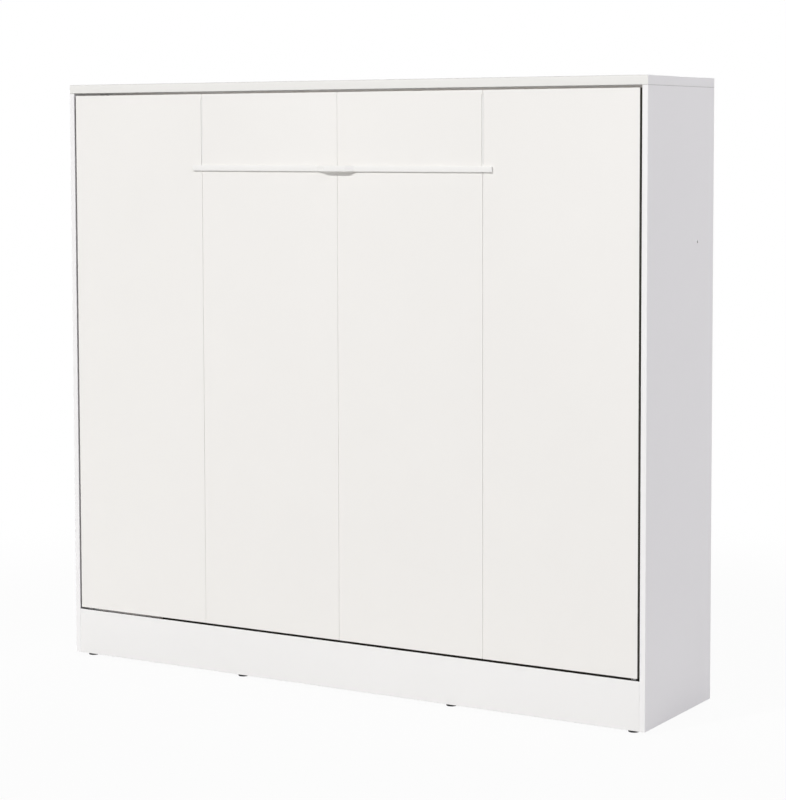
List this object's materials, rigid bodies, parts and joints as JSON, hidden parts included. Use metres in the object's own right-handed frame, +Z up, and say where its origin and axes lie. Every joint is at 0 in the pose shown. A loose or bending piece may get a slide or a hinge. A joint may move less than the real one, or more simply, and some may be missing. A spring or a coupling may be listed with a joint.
{
  "type": "wall bed",
  "caption": "White horizontal wall bed: a low cabinet whose panelled front folds down on gas struts, with a flat steel handle bar that swings out as the bed's leg.",
  "frame": {"origin": "on the floor, in the middle of the overall box", "axes": "+X along the width to the right seen from the front, +Y to the wall, +Z up"},
  "size_m": [2.12, 0.501, 1.93],
  "materials": {
    "white_laminate": "white melamine laminate on particle board, satin",
    "front_laminate": "warm white melamine laminate, satin",
    "frame_steel": "grey powder coat",
    "leg_steel": "white powder coat",
    "zinc_steel": "bright zinc plate",
    "strut_black": "black paint, semi gloss",
    "strut_chrome": "hard chrome",
    "slat_wood": "laminated birch, lacquered",
    "black_plastic": "moulded black plastic",
    "nylon": "natural nylon",
    "pad_rubber": "black rubber",
    "webbing": "woven black webbing"
  },
  "bodies": {
    "cabinet": {"left_side_panel": "white_laminate", "right_side_panel": "white_laminate", "top_panel": "white_laminate", "plinth_board": "white_laminate", "rear_bottom_rail": "white_laminate", "rear_top_rail": "white_laminate", "front_feet": "black_plastic", "rear_feet": "black_plastic", "foot_holders": "black_plastic", "cabinet_screws": "zinc_steel", "corner_brackets": "zinc_steel", "stop_brackets": "zinc_steel", "stop_pads": "pad_rubber", "left_pivot_plate": "zinc_steel", "right_pivot_plate": "zinc_steel", "left_pivot_pin": "zinc_steel", "right_pivot_pin": "zinc_steel", "cabinet_clips": "zinc_steel", "strut_anchor_studs": "zinc_steel"},
    "bed": {"front_board_1": "front_laminate", "front_board_2": "front_laminate", "front_board_3": "front_laminate", "front_board_4": "front_laminate", "frame_lower_tube": "frame_steel", "frame_upper_tube": "frame_steel", "frame_centre_tube": "frame_steel", "frame_left_tube": "frame_steel", "frame_right_tube": "frame_steel", "mattress_bows": "frame_steel", "lever_bolts": "zinc_steel", "left_lever_plate": "zinc_steel", "right_lever_plate": "zinc_steel", "lever_studs": "zinc_steel", "lever_clips": "zinc_steel", "board_screws": "zinc_steel", "strap_screws": "zinc_steel", "leg_hinge_screws": "zinc_steel", "leg_hinge_brackets": "zinc_steel", "leg_hinge_pins": "zinc_steel", "lower_slats": "slat_wood", "upper_slats": "slat_wood", "slat_end_caps": "black_plastic", "slat_centre_caps": "black_plastic", "tube_plugs": "black_plastic", "strap_buckles": "black_plastic", "pivot_bushes": "nylon", "mattress_straps": "webbing"},
    "leg": {"leg_bar": "leg_steel", "left_leg_arm": "leg_steel", "right_leg_arm": "leg_steel"},
    "left_strut_body": {"left_strut_cylinder": "strut_black", "left_strut_gland": "strut_black"},
    "right_strut_body": {"right_strut_cylinder": "strut_black", "right_strut_gland": "strut_black"},
    "left_strut_plunger": {"left_strut_rod": "strut_chrome", "left_strut_piston": "strut_chrome"},
    "right_strut_plunger": {"right_strut_rod": "strut_chrome", "right_strut_piston": "strut_chrome"}
  },
  "joints": [
    {"name": "bed_hinge", "type": "hinge", "parent": "cabinet", "child": "bed", "pos_m": [0, -0.1915, 0.225], "axis": [1, 0, 0], "range_deg": [0, 90], "stiffness_Nm_per_rad": 270, "springref_deg": -17.19},
    {"name": "leg_hinge", "type": "hinge", "parent": "bed", "child": "leg", "pos_m": [0, -0.2055, 1.857], "axis": [-1, 0, 0], "range_deg": [0, 90]},
    {"name": "left_strut_anchor", "type": "hinge", "parent": "cabinet", "child": "left_strut_body", "pos_m": [-1.023, -0.14621, 0.39404], "axis": [1, 0, 0], "range_deg": [0, 45]},
    {"name": "left_strut_rod_end", "type": "hinge", "parent": "bed", "child": "left_strut_plunger", "pos_m": [-1.023, -0.1915, 0.05], "axis": [1, 0, 0], "range_deg": [-45, 0]},
    {"name": "right_strut_anchor", "type": "hinge", "parent": "cabinet", "child": "right_strut_body", "pos_m": [1.023, -0.14621, 0.39404], "axis": [1, 0, 0], "range_deg": [0, 45]},
    {"name": "right_strut_rod_end", "type": "hinge", "parent": "bed", "child": "right_strut_plunger", "pos_m": [1.023, -0.1915, 0.05], "axis": [1, 0, 0], "range_deg": [-45, 0]}
  ],
  "couplings": [
    {"joint": "left_strut_anchor", "follows": "bed_hinge", "ratio": 0.5},
    {"joint": "left_strut_rod_end", "follows": "bed_hinge", "ratio": -0.5},
    {"joint": "right_strut_anchor", "follows": "bed_hinge", "ratio": 0.5},
    {"joint": "right_strut_rod_end", "follows": "bed_hinge", "ratio": -0.5}
  ]
}
